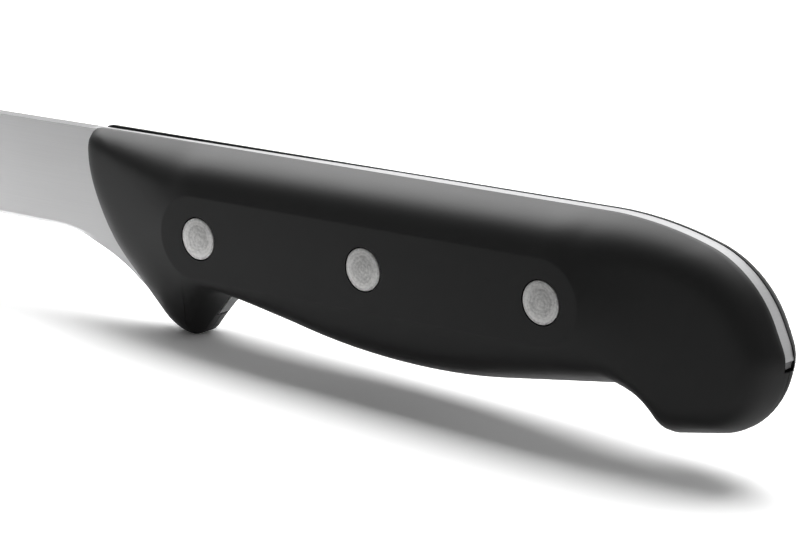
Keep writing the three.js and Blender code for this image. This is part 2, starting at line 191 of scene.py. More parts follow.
class HandleSizes(bpy.types.PropertyGroup):
    """Shape and finish of the handle scales"""

    thickness: bpy.props.FloatProperty(
        name="Thickness", description="Handle's thickness over both scales",
        default=-2 * SCALE_LOW.y, min=0.01, unit="LENGTH")
    flat_radius: bpy.props.FloatProperty(
        name="Flat radius", description="Reach of the flat round the line of rivets",
        default=6.2 * MM, min=0.004, unit="LENGTH")
    crease_slope: bpy.props.FloatProperty(
        name="Crease slope", description="Fall of the crown just outside the flat",
        default=0.27, min=0, max=1)
    ramp_slope: bpy.props.FloatProperty(
        name="Ramp slope", description="Fall of the ramp ahead of the front rivet",
        default=0.2, min=0, max=1)
    round_share: bpy.props.FloatProperty(
        name="Round share", description="Width of the rounded edge over its height",
        default=1.4, min=0.5, max=4)
    lower_round_share: bpy.props.FloatProperty(
        name="Lower round share", description="Width of the rounded edge over its height, below the rivets",
        default=1.0, min=0.5, max=4)
    front_round_share: bpy.props.FloatProperty(
        name="Front round share", description="Width of the rounded edge over its height, below the ramp",
        default=2.4, min=0.5, max=4)
    colour: bpy.props.FloatVectorProperty(
        name="Colour", description="Moulded polymer", default=(0.006, 0.006, 0.0062),
        size=3, min=0, max=1, subtype="COLOR")


class BladeSizes(bpy.types.PropertyGroup):
    """Shape and finish of the blade and its tang"""

    thickness: bpy.props.FloatProperty(
        name="Thickness", description="Thickness of the steel at the spine",
        default=2 * MM, min=0.001, unit="LENGTH")
    ground_edge: bpy.props.FloatProperty(
        name="Ground edge", description="Thickness that the flat grind leaves at the edge",
        default=0.4 * MM, min=0, unit="LENGTH")
    bevel_height: bpy.props.FloatProperty(
        name="Bevel height", description="Height of the sharpened bevel",
        default=0.7 * MM, min=0.0002, unit="LENGTH")
    colour: bpy.props.FloatVectorProperty(
        name="Colour", description="Satin steel", default=(0.75, 0.75, 0.755),
        size=3, min=0, max=1, subtype="COLOR")


class RivetSizes(bpy.types.PropertyGroup):
    """Shape and finish of the rivets"""

    head_diameter: bpy.props.FloatProperty(
        name="Head diameter", description="Diameter of a flush head",
        default=6.2 * MM, min=0.003, unit="LENGTH")
    head_thickness: bpy.props.FloatProperty(
        name="Head thickness", description="Thickness of a head",
        default=2.2 * MM, min=0.0005, unit="LENGTH")
    tube_diameter: bpy.props.FloatProperty(
        name="Tube diameter", description="Outside of the tubular half",
        default=4.4 * MM, min=0.001, unit="LENGTH")
    shank_diameter: bpy.props.FloatProperty(
        name="Shank diameter", description="Solid shank that goes into the tube",
        default=2.8 * MM, min=0.001, unit="LENGTH")
    rim: bpy.props.FloatProperty(
        name="Rim", description="Rounding of a head's rim",
        default=0.15 * MM, min=0, unit="LENGTH")
    gap: bpy.props.FloatProperty(
        name="Gap", description="Dark gap round a head",
        default=0.15 * MM, min=0, unit="LENGTH")
    colour: bpy.props.FloatVectorProperty(
        name="Colour", description="Sanded aluminium", default=(0.78, 0.775, 0.765),
        size=3, min=0, max=1, subtype="COLOR")


class StageSizes(bpy.types.PropertyGroup):
    """Floor, lamp and surroundings"""

    floor_tilt: bpy.props.FloatProperty(
        name="Floor tilt",
        description="Fall of the floor behind the guard, where the knife stands on its edge",
        default=math.radians(2.8), subtype="ANGLE")
    floor_colour: bpy.props.FloatVectorProperty(
        name="Floor colour", description="Pale floor", default=(0.96, 0.96, 0.96),
        size=3, min=0, max=1, subtype="COLOR")
    softbox_light: bpy.props.FloatProperty(
        name="Softbox light", description="Power of the wide softbox above and behind",
        default=35.0, min=0, unit="POWER")
    back_wall: bpy.props.FloatProperty(
        name="Back wall", description="Strength of the surroundings behind the knife",
        default=1.0, min=0)
    front_wall: bpy.props.FloatProperty(
        name="Front wall", description="Strength of the surroundings on the camera's side",
        default=0.19, min=0)


# Modelling helpers


TOUCH = 0.01 * MM


def at(x, z, y=0.0):
    """Point of the side view, from millimetres."""
    return DATUM + Vector((x, y, z)) * MM


def only(piece):
    bpy.ops.object.select_all(action="DESELECT")
    piece.select_set(True)
    bpy.context.view_layer.objects.active = piece


def edit(piece):
    only(piece)
    bpy.ops.object.mode_set(mode="EDIT")
    bpy.ops.mesh.select_mode(type="VERT")


def leave_edit():
    bpy.ops.object.mode_set(mode="OBJECT")


def pick(piece, kind, test):
    """Selects the vertices, edges or faces of the piece in edit mode that pass a test."""
    bpy.ops.mesh.select_mode(type=kind)
    bpy.ops.mesh.select_all(action="DESELECT")
    mesh = bmesh.from_edit_mesh(piece.data)
    found = [e for e in {"VERT": mesh.verts, "EDGE": mesh.edges, "FACE": mesh.faces}[kind] if test(e)]
    for element in found:
        element.select_set(True)
    mesh.select_flush_mode()
    bmesh.update_edit_mesh(piece.data)
    if not found:
        raise RuntimeError(f"{piece.name}: nothing to select")


# Share of a side that the arcs at its two ends may fill
ARC_ROOM = 0.97


def roundings(corners):
    """Tangent length, bevel profile and arc length of each corner of an outline, in mm."""
    places = [Vector((x, z)) for x, z, _ in corners]
    count = len(places)
    arms = []
    for i, (_, _, radius) in enumerate(corners):
        before = places[i - 1] - places[i]
        after = places[(i + 1) % count] - places[i]
        turn = math.pi - before.angle(after)
        arms.append((before.length, after.length, turn, radius * math.tan(turn / 2)))
    found = []
    for i, (before, after, turn, tangent) in enumerate(arms):
        room = 1.0
        if tangent:
            room = min(before / (arms[i - 1][3] + tangent), after / (tangent + arms[(i + 1) % count][3]))
            room = min(1.0, ARC_ROOM * room)
        # The profile with which a bevel follows a circle
        profile = (1 - 0.5 / (1 + math.cos(turn / 2))) ** 2
        length = room * tangent / math.tan(turn / 2) * turn
        found.append((room * tangent, profile, length))
    return found


LONGEST_STEP = 1.5
LENGTH_SLACK = 0.001


def draw_outline(name, corners, step):
    """Closed line through rounded corners, with a point about every step mm, left in edit mode."""
    bpy.ops.object.select_all(action="DESELECT")
    bpy.ops.mesh.primitive_circle_add(vertices=len(corners), radius=MM, location=(0, 0, 0))
    piece = bpy.context.object
    piece.name = name
    places = [at(x, z) for x, z, _ in corners]
    moves = [place - vertex.co for place, vertex in zip(places, piece.data.vertices)]
    edit(piece)
    for i, move in enumerate(moves):
        pick(piece, "VERT", lambda v: v.index == i)
        bpy.ops.transform.translate(value=move)
    for place, (tangent, profile, length) in zip(places, roundings(corners)):
        if tangent:
            pick(piece, "VERT", lambda v: (v.co - place).length < TOUCH)
            bpy.ops.mesh.bevel(
                offset_type="OFFSET", offset=tangent * MM, profile=profile, affect="VERTICES",
                segments=max(2, round(length / step)))
    bpy.ops.mesh.select_all(action="SELECT")
    bpy.ops.mesh.remove_doubles(threshold=TOUCH)
    while True:
        mesh = bmesh.from_edit_mesh(piece.data)
        longest = max(edge.calc_length() for edge in mesh.edges) / MM
        if longest < LONGEST_STEP * step:
            break
        pick(piece, "EDGE", lambda e: e.calc_length() > (longest - LENGTH_SLACK) * MM)
        bpy.ops.mesh.subdivide(number_cuts=max(1, round(longest / step) - 1))
    return piece


def plate(name, corners, step, y_low, y_high):
    """Plate of an outline between two values of y, left in edit mode."""
    piece = draw_outline(name, corners, step)
    bpy.ops.mesh.select_all(action="SELECT")
    bpy.ops.mesh.edge_face_add()
    bpy.ops.transform.translate(value=(0, y_low, 0))
    bpy.ops.mesh.extrude_region_move(TRANSFORM_OT_translate={"value": (0, y_high - y_low, 0)})
    face_outwards()
    return piece


def sideways(face):
    return abs(face.normal.y) > 0.9


def edgeways(face):
    return abs(face.normal.y) < 0.5


def face_outwards():
    bpy.ops.mesh.select_all(action="SELECT")
    bpy.ops.mesh.normals_make_consistent(inside=False)


def apply(piece, kind, **settings):
    """Adds a modifier with these settings and applies it."""
    only(piece)
    modifier = piece.modifiers.new(kind.lower(), kind)
    for name, value in settings.items():
        setattr(modifier, name, value)
    bpy.ops.object.modifier_apply(modifier=modifier.name)


def cut(piece, cutter):
    apply(piece, "BOOLEAN", operation="DIFFERENCE", object=cutter, solver="EXACT")
    bpy.data.objects.remove(cutter)


def copy_of(piece, name):
    only(piece)
    bpy.ops.object.duplicate(linked=False)
    twin = bpy.context.object
    twin.name = name
    return twin


def finish_piece(piece, node, finishes, smooth_angle):
    """Shades a piece, gives it its finishes and lets it stand for a node of the solids."""
    only(piece)
    bpy.ops.object.shade_smooth_by_angle(angle=math.radians(smooth_angle))
    piece.data.name = piece.name
    piece.data.materials.clear()
    for finish in finishes:
        piece.data.materials.append(finish)
    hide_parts(node)
    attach(piece, "root")


# Shader maths


class Shade:
    """A socket of a node tree. Operators on it add the Math nodes that they need."""

    def __init__(self, tree, socket=None):
        self.tree = tree
        self.socket = socket

    def node(self, kind, settings=None, inputs=None, output=0):
        """Adds a node, sets it up, feeds its sockets and gives one of its outputs."""
        node = self.tree.nodes.new(kind)
        for name, value in (settings or {}).items():
            setattr(node, name, value)
        for name, value in (inputs or {}).items():
            if isinstance(value, Shade):
                self.tree.links.new(value.socket, node.inputs[name])
            else:
                node.inputs[name].default_value = value
        return Shade(self.tree, node.outputs[output])

    def axis(self, name):
        """X, Y or Z of a vector."""
        return self.node("ShaderNodeSeparateXYZ", None, {0: self}, output=name)

    def math(self, operation, *values):
        return self.node("ShaderNodeMath", {"operation": operation}, dict(enumerate(values)))

    def __add__(self, other):
        return self.math("ADD", self, other)

    def __sub__(self, other):
        return self.math("SUBTRACT", self, other)

    def __rsub__(self, other):
        return self.math("SUBTRACT", other, self)

    def __mul__(self, other):
        return self.math("MULTIPLY", self, other)

    __radd__ = __add__
    __rmul__ = __mul__


def new_finish(name):
    """New material and the start of its maths: its object coordinates in mm, and its surface node."""
    finish = bpy.data.materials.new(name)
    finish.use_nodes = True
    tree = finish.node_tree
    surface = next(node for node in tree.nodes if node.type == "BSDF_PRINCIPLED")
    start = Shade(tree)
    metres = start.node("ShaderNodeTexCoord", output="Object")
    place = start.node("ShaderNodeVectorMath", {"operation": "SCALE"}, {0: metres, "Scale": 1 / MM})
    return finish, surface, place


def noise(place, stretch, detail=2.0, roughness=0.5):
    """Noise from 0 to 1 whose grains are about stretch mm long each way."""
    scale = [1 / length for length in stretch]
    spread = place.node("ShaderNodeVectorMath", {"operation": "MULTIPLY"}, {0: place, 1: scale})
    inputs = {"Vector": spread, "Scale": 1.0, "Detail": detail, "Roughness": roughness}
    return place.node("ShaderNodeTexNoise", {"normalize": True}, inputs)


def ramp(value, low, high, to_low=0.0, to_high=1.0):
    """Smooth step of a value between two limits."""
    inputs = {"Value": value, "From Min": low, "From Max": high, "To Min": to_low, "To Max": to_high}
    return value.node("ShaderNodeMapRange", {"interpolation_type": "SMOOTHSTEP"}, inputs)


def blend_colour(share, first, second):
    inputs = {0: share, 6: (*first, 1), 7: (*second, 1)}
    return share.node("ShaderNodeMix", {"data_type": "RGBA"}, inputs, output=2)


def feed(surface, **inputs):
    """Sets or links sockets of a surface, by their names with underscores for spaces."""
    for name, value in inputs.items():
        socket = surface.inputs[name.replace("_", " ")]
        if isinstance(value, Shade):
            value.tree.links.new(value.socket, socket)
        else:
            socket.default_value = value


def bump(height, strength, distance):
    inputs = {"Height": height, "Strength": strength, "Distance": distance * MM}
    return height.node("ShaderNodeBump", None, inputs)


def shaded(colour, factor):
    return tuple(channel * factor for channel in colour)


def polymer_finish(colour):
    """Black moulded polymer with a fine satin grain and faint handling marks."""
    finish, surface, place = new_finish("satin_polymer")
    cloud = noise(place, (14, 14, 9), detail=3)
    grain = noise(place, (0.22, 0.22, 0.22), detail=2)
    rub = noise(place, (9, 2, 0.5), detail=2)
    feed(
        surface,
        Base_Color=blend_colour(cloud, shaded(colour, 0.85), shaded(colour, 1.2)),
        Roughness=0.39 + 0.06 * cloud + 0.05 * grain + 0.03 * rub,
        Normal=bump(grain + 0.3 * rub, 0.05, 0.06),
        Specular_IOR_Level=0.45,
    )
    return finish


def blade_finish(colour):
    """Satin steel, ground along the blade."""
    finish, surface, place = new_finish("satin_steel")
    lines = noise(place, (16, 0.3, 0.09), detail=3)
    cloud = noise(place, (30, 10, 5), detail=2)
    feed(
        surface,
        Base_Color=blend_colour(0.6 * lines + 0.4 * cloud, shaded(colour, 0.92), shaded(colour, 1.08)),
        Metallic=1.0,
        Roughness=0.34 + 0.1 * lines + 0.05 * cloud,
        Normal=bump(lines, 0.06, 0.02),
    )
    return finish


# Depths over which painted light brightens the butt, and the stretch over which the painted shade on the
# blade's spine ends at the handle, in mm
BUTT_LIGHT_DEPTHS = (5.0, 12.0)
BLADE_SHADE_SPAN = (-1.0, 1.5)


def spine_finish(colour):
    """Bare edge of the steel, sanded with the handle, with painted shade darkening it along the blade and
    painted light brightening it down the butt.
    """
    finish, surface, place = new_finish("sanded_steel_with_painted_light")
    # Painted light brightens the steel down the butt, and painted shade darkens the blade's spine; both feed
    # the base colour below
    butt = ramp(DATUM.z / MM - place.axis("Z"), *BUTT_LIGHT_DEPTHS)
    blade_shade_end = ramp(place.axis("X") - DATUM.x / MM, *BLADE_SHADE_SPAN)
    scratches = noise(place, (0.12, 1.5, 0.12), detail=3)
    cloud = noise(place, (7, 7, 7), detail=2)
    feed(
        surface,
        Base_Color=blend_colour(
            0.27 * scratches + 0.4 * blade_shade_end + 0.33 * butt, shaded(colour, 0.22), shaded(colour, 0.79)),
        Metallic=1.0,
        Roughness=0.5 + 0.12 * scratches + 0.06 * cloud,
        Normal=bump(scratches, 0.1, 0.03),
    )
    return finish


def stamped_shaded_finish(colour):
    """Torn edge of the steel, left as it was stamped; its darker colour is partly painted shade for the
    edges that look down or lie low.
    """
    finish, surface, place = new_finish("stamped_steel_with_painted_shade")
    tears = noise(place, (0.25, 1.2, 0.25), detail=4, roughness=0.65)
    cloud = noise(place, (1.6, 1.6, 1.6), detail=2)
    # Dark colour: partly the torn steel, partly painted shade on edges that look down or lie low
    feed(
        surface,
        Base_Color=blend_colour(0.6 * tears + 0.4 * cloud, shaded(colour, 0.25), shaded(colour, 0.7)),
        Metallic=1.0,
        Roughness=0.6 + 0.2 * tears,
        Normal=bump(tears, 0.5, 0.1),
    )
    return finish


# Radii over which a head's paler border starts and ends, in mm, and a pit ends, in cells of its pattern
BORDER_START = (1.7, 2.4)
BORDER_END = (2.6, 3.0)
PIT_END = (0.05, 0.1)


def rivet_finish(colour):
    """Aluminium, faced on a lathe and then sanded, with small pits."""
    finish, surface, place = new_finish("sanded_aluminium")
    centre = (RIVETS[0].x / MM, 0, RIVETS[0].z / MM)
    moved = place.node("ShaderNodeVectorMath", {"operation": "SUBTRACT"}, {0: place, 1: centre})
    x = moved.axis("X")
    z = moved.axis("Z")
    along = x.math("WRAP", x, RIVET_PITCH / MM / 2, -RIVET_PITCH / MM / 2)
    radius = x.math("SQRT", along * along + z * z)
    mottle = noise(place, (0.45, 0.45, 0.45), detail=4, roughness=0.65)
    sanding = noise(place, (0.9, 0.9, 0.12), detail=3)
    cloud = noise(place, (2.2, 2.2, 2.2), detail=1)
    turning = radius.math("SINE", radius * 12 + cloud * 14 + mottle * 3)
    border = ramp(radius, *BORDER_START) * (1 - ramp(radius, *BORDER_END))
    spots = place.node("ShaderNodeTexVoronoi", {"feature": "F1"}, {"Vector": place, "Scale": 0.3})
    pits = 1 - ramp(spots, *PIT_END)
    tone = mottle * 0.6 + sanding * 0.15 + cloud * 0.2 + turning * 0.035 + border * 0.14
    bright = ramp(tone, 0.28, 0.72) * (1 - pits)
    feed(
        surface,
        Base_Color=blend_colour(bright, shaded(colour, 0.68), shaded(colour, 1.22)),
        Metallic=1.0,
        Roughness=0.42 + 0.12 * mottle,
        Normal=bump(mottle * 0.6 + turning * 0.25 - pits, 0.35, 0.05),
    )
    return finish


# Handle scales


def smooth_step(value, low, high):
    share = np.clip((value - low) / (high - low), 0, 1)
    return share * share * (3 - 2 * share)


class Crown:
    """Half thickness of the handle over its side view, in mm from the datum.

    The flat round the rivets falls past a crease to a crown, which rounds over to a lip at the outline.
    """

    SEAM = 0.05
    POCKET = 1.05
    TANG_LIP = 0.32
    SEAM_LIP = 0.35
    LIP_BLEND = 6.0
    RAMP_BLEND = 12.0
    CREASE_FADE = 20.0
    FLAT_LEAD = 1.1
    FRONT_SHARE_DEPTHS = (4.0, 14.0)
    LOWER_SHARE_DEPTHS = (14.0, 22.0)
    ROUND_POWER = 3

    def __init__(self, sizes, lines):
        self.half = sizes.thickness / 2 / MM
        self.flat = sizes.flat_radius / MM
        self.crease_slope = sizes.crease_slope
        self.ramp_slope = sizes.ramp_slope
        self.round_share = sizes.round_share
        self.lower_round_share = sizes.lower_round_share
        self.front_round_share = sizes.front_round_share
        self.starts = lines[:, 0]
        self.along = lines[:, 1] - lines[:, 0]
        self.front = (RIVETS[0].x - DATUM.x) / MM
        self.rear = (RIVETS[-1].x - DATUM.x) / MM
        self.line = (RIVETS[0].z - DATUM.z) / MM

    def hubs(self, points):
        """Nearest points of the line through the rivets."""
        x = np.clip(points[:, 0], self.front - self.FLAT_LEAD, self.rear)
        return np.stack([x, np.full(len(points), self.line)], axis=1)

    def from_outline(self, points):
        offset = points[:, None, :] - self.starts[None, :, :]
        share = np.clip((offset * self.along).sum(2) / (self.along * self.along).sum(1), 0, 1)
        return np.linalg.norm(offset - share[:, :, None] * self.along, axis=2).min(1)

    def lip(self, points):
        behind = smooth_step(points[:, 0], NOTCH_X, NOTCH_X + self.LIP_BLEND)
        start = TANG_END_DEPTH - self.LIP_BLEND / 2
        below = smooth_step(-points[:, 1], start, start + self.LIP_BLEND)
        beside_tang = self.POCKET + self.TANG_LIP
        beside_scale = self.SEAM + self.SEAM_LIP
        return beside_tang + (beside_scale - beside_tang) * behind * below

    def height(self, points):
        from_flat = np.maximum(0, np.linalg.norm(points - self.hubs(points), axis=1) - self.flat)
        from_edge = self.from_outline(points)
        room = from_flat + from_edge
        ahead = 1 - smooth_step(points[:, 0], self.front - self.RAMP_BLEND, self.front)
        slope = self.crease_slope + (self.ramp_slope - self.crease_slope) * ahead
        fade = (1 - ahead) / self.CREASE_FADE
        drop = self.half - slope * room / (1 + fade * room) - self.lip(points)
        front = ahead * smooth_step(-points[:, 1], *self.FRONT_SHARE_DEPTHS)
        lower = (1 - ahead) * smooth_step(-points[:, 1], *self.LOWER_SHARE_DEPTHS)
        share = self.round_share
        share = share + (self.front_round_share - self.round_share) * front
        share = share + (self.lower_round_share - self.round_share) * lower
        rounding = np.maximum(0, 1 - from_edge / np.minimum(room, share * drop))
        return self.half - slope * from_flat / (1 + fade * from_flat) - drop * rounding ** self.ROUND_POWER


OUTLINE_STEP = 0.9
CREASE_WIDTH = 0.22
CROWN_RINGS = 26
RING_CROWDING = 1.7
EASE_SHARE = 0.5
EASE_ROUNDS = 10
SCALE_SMOOTHING = 30
POCKET_REACH = 4 * MM


def model_scale(sizes):
    """Left scale: rings drawn in from the outline to the flat, closed at the seam, then cut out."""
    scale = draw_outline("left_scale_shell", HANDLE_CORNERS, OUTLINE_STEP)
    mesh = bmesh.from_edit_mesh(scale.data)
    ring_of = mesh.verts.layers.float_vector.new("ring")
    for vertex in mesh.verts:
        vertex[ring_of] = ((vertex.co.x - DATUM.x) / MM, 0, (vertex.co.z - DATUM.z) / MM)
    lines = [[(v[ring_of].x, v[ring_of].z) for v in edge.verts] for edge in mesh.edges]
    bmesh.update_edit_mesh(scale.data)
    crown = Crown(sizes, np.array(lines))

    def place_ring(number, share, inset):
        """Puts the selected ring a share of the way from the outline to the flat, or inside the flat."""
        mesh = bmesh.from_edit_mesh(scale.data)
        layer = mesh.verts.layers.float_vector["ring"]
        ring = [v for v in mesh.verts if v.select]
        outer = np.array([(v[layer].x, v[layer].z) for v in ring])
        hubs = crown.hubs(outer)
        away = outer - hubs
        away /= np.linalg.norm(away, axis=1)[:, None]
        flat = hubs + away * (crown.flat + inset)
        points = outer + (flat - outer) * share
        heights = crown.height(points)
        for vertex, point, height in zip(ring, points, heights):
            vertex.co = at(point[0], point[1], -height)
            vertex[layer].y = number
        bmesh.update_edit_mesh(scale.data)

    bpy.ops.mesh.select_all(action="SELECT")
    place_ring(0, 0.0, 0.0)
    shares = [(k / CROWN_RINGS) ** RING_CROWDING for k in range(1, CROWN_RINGS)]
    rings = [(share, CREASE_WIDTH) for share in shares]
    rings += [(1.0, CREASE_WIDTH), (1.0, 0.0), (1.0, -CREASE_WIDTH)]
    for number, (share, inset) in enumerate(rings, start=1):
        bpy.ops.mesh.extrude_region_move()
        place_ring(number, share, inset)
    bpy.ops.mesh.edge_face_add()

    mesh = bmesh.from_edit_mesh(scale.data)
    layer = mesh.verts.layers.float_vector["ring"]
    pick(scale, "VERT", lambda v: v[layer].y == 0)
    bpy.ops.mesh.extrude_region_move()
    mesh = bmesh.from_edit_mesh(scale.data)
    layer = mesh.verts.layers.float_vector["ring"]
    for vertex in [v for v in mesh.verts if v.select]:
        vertex.co.y = -Crown.SEAM * MM
        vertex[layer].y = -1
    bmesh.update_edit_mesh(scale.data)
    bpy.ops.mesh.edge_face_add()
    face_outwards()
    leave_edit()

    numbers = [item.vector.y for item in scale.data.attributes["ring"].data]
    eased = [i for i, number in enumerate(numbers) if 1 <= number < CROWN_RINGS]
    scale.vertex_groups.new(name="crown").add(eased, 1.0, "REPLACE")
    apply(scale, "SMOOTH", factor=EASE_SHARE, iterations=EASE_ROUNDS, use_x=False, use_z=False,
          vertex_group="crown")
    scale.vertex_groups.clear()
    scale.data.attributes.remove(scale.data.attributes["ring"])

    pocket = plate("tang_room", POCKET_CORNERS, HANDLE_LENGTH, -Crown.POCKET * MM, POCKET_REACH)
    leave_edit()
    cut(scale, pocket)
    return scale


class KNIFE_OT_scales(bpy.types.Operator):
    """Models the left scale and mirrors it to the right"""

    bl_idname = "knife.scales"
    bl_label = "Handle scales"

    def execute(self, context):
        sizes = context.scene.knife_handle
        rivets = context.scene.knife_rivets
        finish = polymer_finish(sizes.colour)
        left = model_scale(sizes)
        for place in RIVETS:
            cut(left, rivet_room(place, rivets))
        right = copy_of(left, "right_scale_shell")
        edit(right)
        bpy.ops.mesh.select_all(action="SELECT")
        bpy.ops.transform.resize(value=(1, -1, 1), center_override=(0, 0, 0))
        face_outwards()
        leave_edit()
        finish_piece(left, "left_scale", [finish], SCALE_SMOOTHING)
        finish_piece(right, "right_scale", [finish], SCALE_SMOOTHING)
        return {"FINISHED"}


# Rivets


SEAT_GAP = 0.05 * MM
TUBE_GAP = 0.2 * MM
BORE_GAP = 0.1 * MM
SHANK_END_GAP = 0.5 * MM
HEAD_SIDES = 64
RIM_STEPS = 3
RIVET_SMOOTHING = 35
ROOM_LEAD = 4 * MM
ROOM_TAIL = 1 * MM


def turned_head(name, place, diameter, thickness, rim):
    """Disc of a head on the left side, flush at its place, left in edit mode."""
    bpy.ops.object.select_all(action="DESELECT")
    middle = place + Vector((0, thickness / 2, 0))
    bpy.ops.mesh.primitive_cylinder_add(
        vertices=HEAD_SIDES, radius=diameter / 2, depth=thickness,
        location=middle, rotation=(math.pi / 2, 0, 0))
    bpy.ops.object.transform_apply(location=True, rotation=True, scale=True)
    piece = bpy.context.object
    piece.name = name
    edit(piece)
    if rim:
        pick(piece, "EDGE", lambda e: all(abs(v.co.y - place.y) < TOUCH for v in e.verts))
        bpy.ops.mesh.bevel(offset_type="OFFSET", offset=rim, segments=RIM_STEPS, profile=0.5, affect="EDGES")
    return piece


def step_in(piece, y, inset, length):
    """Draws the flat end at y in by an inset, and pulls it on by a length along y."""
    pick(piece, "FACE", lambda f: sideways(f) and abs(f.calc_center_median().y - y) < TOUCH)
    bpy.ops.mesh.inset(thickness=inset, use_even_offset=True)
    bpy.ops.mesh.extrude_region_move(TRANSFORM_OT_translate={"value": (0, length, 0)})


def rivet_room(place, rivets):
    """Cutter for a rivet's stepped hole through the left scale."""
    outside = place - Vector((0, ROOM_LEAD, 0))
    thickness = rivets.head_thickness + SEAT_GAP + ROOM_LEAD
    diameter = rivets.head_diameter + 2 * rivets.gap
    cutter = turned_head("rivet_room", outside, diameter, thickness, 0)
    seat = outside.y + thickness
    inset = diameter / 2 - rivets.tube_diameter / 2 - TUBE_GAP
    step_in(cutter, seat, inset, -seat + ROOM_TAIL)
    face_outwards()
    leave_edit()
    return cutter


def rivet_post(place, rivets):
    """Solid half of a rivet, with its head in the left scale."""
    post = turned_head(
        "front_rivet_post_head", place, rivets.head_diameter, rivets.head_thickness, rivets.rim)
    seat = place.y + rivets.head_thickness
    inset = (rivets.head_diameter - rivets.shank_diameter) / 2
    step_in(post, seat, inset, -2 * seat - SHANK_END_GAP)
    face_outwards()
    leave_edit()
    return post


def rivet_socket(place, rivets):
    """Tubular half of a rivet, made on the left and mirrored into the right scale."""
    socket = turned_head(
        "front_rivet_socket_head", place, rivets.head_diameter, rivets.head_thickness, rivets.rim)
    seat = place.y + rivets.head_thickness
    length = -2 * seat - SEAT_GAP
    step_in(socket, seat, (rivets.head_diameter - rivets.tube_diameter) / 2, length)
    wall = (rivets.tube_diameter - rivets.shank_diameter) / 2 - BORE_GAP
    step_in(socket, seat + length, wall, -length)
    bpy.ops.mesh.select_all(action="SELECT")
    bpy.ops.transform.resize(value=(1, -1, 1), center_override=(0, 0, 0))
    face_outwards()
    leave_edit()
    return socket


class KNIFE_OT_rivets(bpy.types.Operator):
    """Models both halves of the front rivet and copies them along the handle"""

    bl_idname = "knife.rivets"
    bl_label = "Rivets"

    def execute(self, context):
        rivets = context.scene.knife_rivets
        finish = rivet_finish(rivets.colour)
        for half, model in (("post", rivet_post), ("socket", rivet_socket)):
            first = model(RIVETS[0], rivets)
            pieces = [first]
            for name, place in zip(RIVET_NAMES[1:], RIVETS[1:]):
                twin = copy_of(first, f"{name}_rivet_{half}_head")
                edit(twin)
                bpy.ops.mesh.select_all(action="SELECT")
                bpy.ops.transform.translate(value=(place.x - RIVETS[0].x, 0, 0))
                leave_edit()
                pieces.append(twin)
            for name, piece in zip(RIVET_NAMES, pieces):
                finish_piece(piece, f"{name}_rivet_{half}", [finish], RIVET_SMOOTHING)
        return {"FINISHED"}


# Blade and tang


# Flat grind in mm: where it starts and is full along the blade, and its top
GRIND_START = -8.0
GRIND_FULL = -60.0
GRIND_TOP = -1.0
GRIND_STATIONS = tuple(range(-8, -61, -4))
BLADE_STATIONS = tuple(range(-80, -300, -20))
BLADE_STEP = 1.0
BLADE_SMOOTHING = 9
SHARP = 0.06
SHARP_BLEND = 6.0
SPINE_BAND = 0.5
HOLE_SIDES = 48
HOLE_LENGTH = 10 * MM

# The edges of the steel are sanded with the handle down to this depth, if they don't look down; the others
# get the stamped finish, whose darker colour is partly painted shade
SANDED_LOW = at(0, -17.0).z
DOWNWARD_SHADE_LEAN = -0.3


def model_blade(sizes):
    """Steel blank: a plate with a drawn-in band, sliced into stations and then thinned to the edge."""
    half = sizes.thickness / 2
    blade = plate("blade_with_tang_steel", BLADE_CORNERS, BLADE_STEP, -half, half)
    pick(blade, "FACE", sideways)
    bpy.ops.mesh.inset(thickness=sizes.bevel_height, use_even_offset=True)
    for x in GRIND_STATIONS + BLADE_STATIONS:
        bpy.ops.mesh.select_all(action="SELECT")
        bpy.ops.mesh.bisect(plane_co=at(x, 0), plane_no=(1, 0, 0))
    bpy.ops.mesh.select_all(action="SELECT")
    bpy.ops.mesh.bisect(plane_co=at(0, GRIND_TOP), plane_no=(0, 0, 1))

    mesh = bmesh.from_edit_mesh(blade.data)
    rim = {vertex for face in mesh.faces if edgeways(face) for vertex in face.verts}
    for vertex in mesh.verts:
        x = (vertex.co.x - DATUM.x) / MM
        z = (vertex.co.z - DATUM.z) / MM
        ground = float(smooth_step(np.float64(-x), -GRIND_START, -GRIND_FULL))
        depth = min(1.0, max(0.0, (GRIND_TOP - z) / (GRIND_TOP - EDGE_AT_HEEL)))
        thinned = half - (half - sizes.ground_edge / 2) * ground * depth
        spine = -SPINE_RECESS - SPINE_FALL * (SPINE_LEVEL_X - x)
        if vertex in rim and z < spine - SPINE_BAND and x < 0:
            sharp = min(1.0, -x / SHARP_BLEND)
            thinned += (SHARP * MM / 2 - thinned) * sharp
        vertex.co.y = math.copysign(thinned, vertex.co.y)
    bmesh.update_edit_mesh(blade.data)
    face_outwards()
    leave_edit()
    return blade


class KNIFE_OT_blade(bpy.types.Operator):
    """Models the blade and its tang as one piece of steel"""

    bl_idname = "knife.blade"
    bl_label = "Blade and tang"

    def execute(self, context):
        sizes = context.scene.knife_blade
        rivets = context.scene.knife_rivets
        blade = model_blade(sizes)
        for place in RIVETS:
            bpy.ops.object.select_all(action="DESELECT")
            bpy.ops.mesh.primitive_cylinder_add(
                vertices=HOLE_SIDES, radius=rivets.tube_diameter / 2 + TUBE_GAP, depth=HOLE_LENGTH,
                location=(place.x, 0, place.z), rotation=(math.pi / 2, 0, 0))
            bpy.ops.object.transform_apply(location=True, rotation=True, scale=True)
            cut(blade, bpy.context.object)
        finishes = [blade_finish(sizes.colour), spine_finish(sizes.colour), stamped_shaded_finish(sizes.colour)]
        finish_piece(blade, "blade_with_tang", finishes, BLADE_SMOOTHING)
        # Edges that look down or lie low get the darker stamped finish, partly as painted shade
        for face in filter(edgeways, blade.data.polygons):
            sanded = face.normal.z > DOWNWARD_SHADE_LEAN and face.center.z > SANDED_LOW
            face.material_index = 1 if sanded else 2
        return {"FINISHED"}


# Stage


